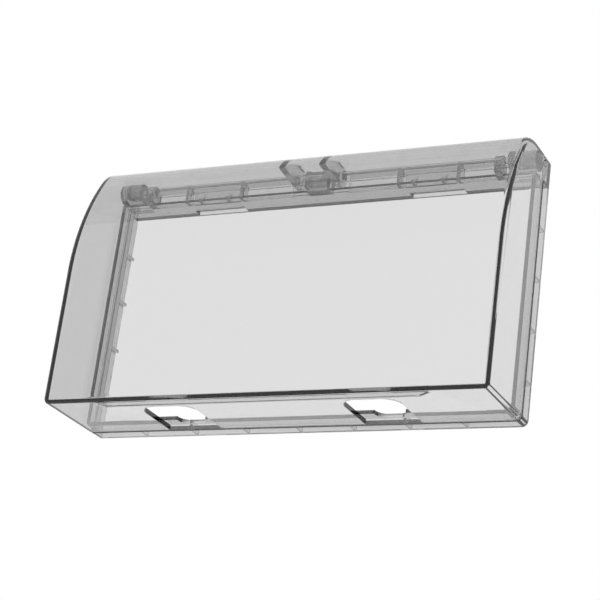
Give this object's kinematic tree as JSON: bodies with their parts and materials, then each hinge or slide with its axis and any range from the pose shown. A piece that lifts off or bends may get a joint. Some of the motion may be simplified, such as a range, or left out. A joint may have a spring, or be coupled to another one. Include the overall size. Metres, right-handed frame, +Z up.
{
  "type": "weatherproof socket cover",
  "caption": "Clear smoke-tinted splash cover for a double wall socket, with a flip-up lid hinged along the top of a stick-on frame and notches for cables in its bottom wall.",
  "frame": {"origin": "middle of the socket opening, on the wall", "axes": "+X to the right as seen from the room, +Y into the wall, +Z up; the room is on the -Y side"},
  "size_m": [0.19, 0.045, 0.1138],
  "materials": {
    "smoke_lid": "polished transparent plastic with a light neutral smoke tint",
    "smoke_frame": "transparent plastic with a light neutral smoke tint",
    "clear_pin": "transparent plastic, smooth",
    "clear_tape": "clear gel mounting tape, slightly milky"
  },
  "bodies": {
    "frame": {"base_frame": "smoke_frame", "tape_bottom": "clear_tape", "tape_top": "clear_tape", "tape_left": "clear_tape", "tape_right": "clear_tape"},
    "lid": {"lid_shell": "smoke_lid", "hinge_pin_left": "clear_pin", "hinge_pin_right": "clear_pin", "hinge_pin_center": "clear_pin"}
  },
  "joints": [
    {"name": "lid_hinge", "type": "hinge", "parent": "frame", "child": "lid", "pos_m": [0, -0.013, 0.054], "axis": [-1, 0, 0], "range_deg": [0, 90]}
  ]
}
